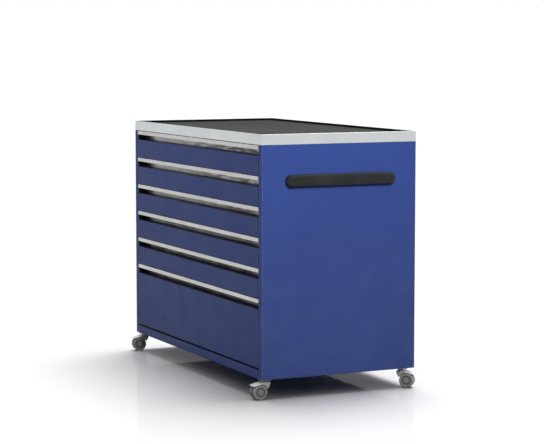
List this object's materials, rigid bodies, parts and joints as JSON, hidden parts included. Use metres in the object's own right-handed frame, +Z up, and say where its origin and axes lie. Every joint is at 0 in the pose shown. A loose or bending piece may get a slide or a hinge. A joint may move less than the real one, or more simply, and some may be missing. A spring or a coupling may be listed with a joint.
{
  "type": "under-bench drawer cabinet",
  "caption": "Wide steel drawer cabinet on swivel castors, with full-width aluminium pull strips, a raised top tray with a mat and a grip on one side.",
  "frame": {"origin": "on the floor, under the middle of the whole footprint, castors and side grip included", "axes": "+X along the drawer fronts towards the side with the grip, +Y from the fronts to the back, +Z up"},
  "size_m": [1.0664, 0.5602, 0.8021],
  "materials": {
    "blue_paint": "smooth semi-gloss powder coat",
    "light_grey_paint": "satin powder coat",
    "satin_aluminium": "satin anodised",
    "bare_steel": "rolled sheet",
    "zinc_plate": "zinc plated",
    "black_mat": "fine grained",
    "black_grip": "fine grained",
    "grey_tread": "satin"
  },
  "bodies": {
    "cabinet": {"left_side_panel": "blue_paint", "right_side_panel": "blue_paint", "back_panel": "blue_paint", "base_plate": "blue_paint", "plinth_rail": "blue_paint", "left_base_beam": "bare_steel", "right_base_beam": "bare_steel", "left_runner_panel": "bare_steel", "right_runner_panel": "bare_steel", "top_panel": "bare_steel", "top_tray": "light_grey_paint", "top_mat": "black_mat", "side_handle": "black_grip", "front_left_castor_mount": "zinc_plate", "front_right_castor_mount": "zinc_plate", "rear_left_castor_mount": "zinc_plate", "rear_right_castor_mount": "zinc_plate"},
    "drawer_1": {"drawer_1_front": "blue_paint", "drawer_1_pull": "satin_aluminium", "drawer_1_box": "zinc_plate"},
    "drawer_1_carriages": {"drawer_1_left_carriage": "zinc_plate", "drawer_1_right_carriage": "zinc_plate"},
    "drawer_2": {"drawer_2_front": "blue_paint", "drawer_2_pull": "satin_aluminium", "drawer_2_box": "zinc_plate"},
    "drawer_2_carriages": {"drawer_2_left_carriage": "zinc_plate", "drawer_2_right_carriage": "zinc_plate"},
    "drawer_3": {"drawer_3_front": "blue_paint", "drawer_3_pull": "satin_aluminium", "drawer_3_box": "zinc_plate"},
    "drawer_3_carriages": {"drawer_3_left_carriage": "zinc_plate", "drawer_3_right_carriage": "zinc_plate"},
    "drawer_4": {"drawer_4_front": "blue_paint", "drawer_4_pull": "satin_aluminium", "drawer_4_box": "zinc_plate"},
    "drawer_4_carriages": {"drawer_4_left_carriage": "zinc_plate", "drawer_4_right_carriage": "zinc_plate"},
    "drawer_5": {"drawer_5_front": "blue_paint", "drawer_5_pull": "satin_aluminium", "drawer_5_box": "zinc_plate"},
    "drawer_5_carriages": {"drawer_5_left_carriage": "zinc_plate", "drawer_5_right_carriage": "zinc_plate"},
    "drawer_6": {"drawer_6_front": "blue_paint", "drawer_6_pull": "satin_aluminium", "drawer_6_box": "zinc_plate"},
    "drawer_6_carriages": {"drawer_6_left_carriage": "zinc_plate", "drawer_6_right_carriage": "zinc_plate"},
    "front_left_castor_swivel": {"front_left_castor_housing": "zinc_plate"},
    "front_left_castor_right_roller": {"front_left_castor_right_wheel": "grey_tread"},
    "front_left_castor_left_roller": {"front_left_castor_left_wheel": "grey_tread"},
    "front_right_castor_swivel": {"front_right_castor_housing": "zinc_plate"},
    "front_right_castor_right_roller": {"front_right_castor_right_wheel": "grey_tread"},
    "front_right_castor_left_roller": {"front_right_castor_left_wheel": "grey_tread"},
    "rear_left_castor_swivel": {"rear_left_castor_housing": "zinc_plate"},
    "rear_left_castor_right_roller": {"rear_left_castor_right_wheel": "grey_tread"},
    "rear_left_castor_left_roller": {"rear_left_castor_left_wheel": "grey_tread"},
    "rear_right_castor_swivel": {"rear_right_castor_housing": "zinc_plate"},
    "rear_right_castor_right_roller": {"rear_right_castor_right_wheel": "grey_tread"},
    "rear_right_castor_left_roller": {"rear_right_castor_left_wheel": "grey_tread"}
  },
  "joints": [
    {"name": "drawer_1_slide", "type": "slide", "parent": "cabinet", "child": "drawer_1", "axis": [0, -1, 0], "range_m": [0, 0.45]},
    {"name": "drawer_1_carriage_slide", "type": "slide", "parent": "cabinet", "child": "drawer_1_carriages", "axis": [0, -1, 0], "range_m": [0, 0.225]},
    {"name": "drawer_2_slide", "type": "slide", "parent": "cabinet", "child": "drawer_2", "axis": [0, -1, 0], "range_m": [0, 0.45]},
    {"name": "drawer_2_carriage_slide", "type": "slide", "parent": "cabinet", "child": "drawer_2_carriages", "axis": [0, -1, 0], "range_m": [0, 0.225]},
    {"name": "drawer_3_slide", "type": "slide", "parent": "cabinet", "child": "drawer_3", "axis": [0, -1, 0], "range_m": [0, 0.45]},
    {"name": "drawer_3_carriage_slide", "type": "slide", "parent": "cabinet", "child": "drawer_3_carriages", "axis": [0, -1, 0], "range_m": [0, 0.225]},
    {"name": "drawer_4_slide", "type": "slide", "parent": "cabinet", "child": "drawer_4", "axis": [0, -1, 0], "range_m": [0, 0.45]},
    {"name": "drawer_4_carriage_slide", "type": "slide", "parent": "cabinet", "child": "drawer_4_carriages", "axis": [0, -1, 0], "range_m": [0, 0.225]},
    {"name": "drawer_5_slide", "type": "slide", "parent": "cabinet", "child": "drawer_5", "axis": [0, -1, 0], "range_m": [0, 0.45]},
    {"name": "drawer_5_carriage_slide", "type": "slide", "parent": "cabinet", "child": "drawer_5_carriages", "axis": [0, -1, 0], "range_m": [0, 0.225]},
    {"name": "drawer_6_slide", "type": "slide", "parent": "cabinet", "child": "drawer_6", "axis": [0, -1, 0], "range_m": [0, 0.45]},
    {"name": "drawer_6_carriage_slide", "type": "slide", "parent": "cabinet", "child": "drawer_6_carriages", "axis": [0, -1, 0], "range_m": [0, 0.225]},
    {"name": "front_left_swivel", "type": "hinge", "parent": "cabinet", "child": "front_left_castor_swivel", "pos_m": [-0.50821, -0.235, 0.055], "axis": [0, 0, 1], "continuous": true},
    {"name": "front_left_right_spin", "type": "hinge", "parent": "front_left_castor_swivel", "child": "front_left_castor_right_roller", "pos_m": [-0.5011, -0.2562, 0.023], "axis": [0.9903, -0.1392, 0], "continuous": true},
    {"name": "front_left_left_spin", "type": "hinge", "parent": "front_left_castor_swivel", "child": "front_left_castor_left_roller", "pos_m": [-0.5209, -0.25341, 0.023], "axis": [0.9903, -0.1392, 0], "continuous": true},
    {"name": "front_right_swivel", "type": "hinge", "parent": "cabinet", "child": "front_right_castor_swivel", "pos_m": [0.49179, -0.235, 0.055], "axis": [0, 0, 1], "continuous": true},
    {"name": "front_right_right_spin", "type": "hinge", "parent": "front_right_castor_swivel", "child": "front_right_castor_right_roller", "pos_m": [0.50179, -0.255, 0.023], "axis": [1, 0, 0], "continuous": true},
    {"name": "front_right_left_spin", "type": "hinge", "parent": "front_right_castor_swivel", "child": "front_right_castor_left_roller", "pos_m": [0.48179, -0.255, 0.023], "axis": [1, 0, 0], "continuous": true},
    {"name": "rear_left_swivel", "type": "hinge", "parent": "cabinet", "child": "rear_left_castor_swivel", "pos_m": [-0.50821, 0.235, 0.055], "axis": [0, 0, 1], "continuous": true},
    {"name": "rear_left_right_spin", "type": "hinge", "parent": "rear_left_castor_swivel", "child": "rear_left_castor_right_roller", "pos_m": [-0.51533, 0.2562, 0.023], "axis": [-0.9903, 0.1392, 0], "continuous": true},
    {"name": "rear_left_left_spin", "type": "hinge", "parent": "rear_left_castor_swivel", "child": "rear_left_castor_left_roller", "pos_m": [-0.49553, 0.25341, 0.023], "axis": [-0.9903, 0.1392, 0], "continuous": true},
    {"name": "rear_right_swivel", "type": "hinge", "parent": "cabinet", "child": "rear_right_castor_swivel", "pos_m": [0.49179, 0.235, 0.055], "axis": [0, 0, 1], "continuous": true},
    {"name": "rear_right_right_spin", "type": "hinge", "parent": "rear_right_castor_swivel", "child": "rear_right_castor_right_roller", "pos_m": [0.49698, 0.25675, 0.023], "axis": [-0.766, 0.6428, 0], "continuous": true},
    {"name": "rear_right_left_spin", "type": "hinge", "parent": "rear_right_castor_swivel", "child": "rear_right_castor_left_roller", "pos_m": [0.5123, 0.24389, 0.023], "axis": [-0.766, 0.6428, 0], "continuous": true}
  ],
  "couplings": [
    {"joint": "drawer_1_carriage_slide", "follows": "drawer_1_slide", "ratio": 0.5},
    {"joint": "drawer_2_carriage_slide", "follows": "drawer_2_slide", "ratio": 0.5},
    {"joint": "drawer_3_carriage_slide", "follows": "drawer_3_slide", "ratio": 0.5},
    {"joint": "drawer_4_carriage_slide", "follows": "drawer_4_slide", "ratio": 0.5},
    {"joint": "drawer_5_carriage_slide", "follows": "drawer_5_slide", "ratio": 0.5},
    {"joint": "drawer_6_carriage_slide", "follows": "drawer_6_slide", "ratio": 0.5}
  ]
}
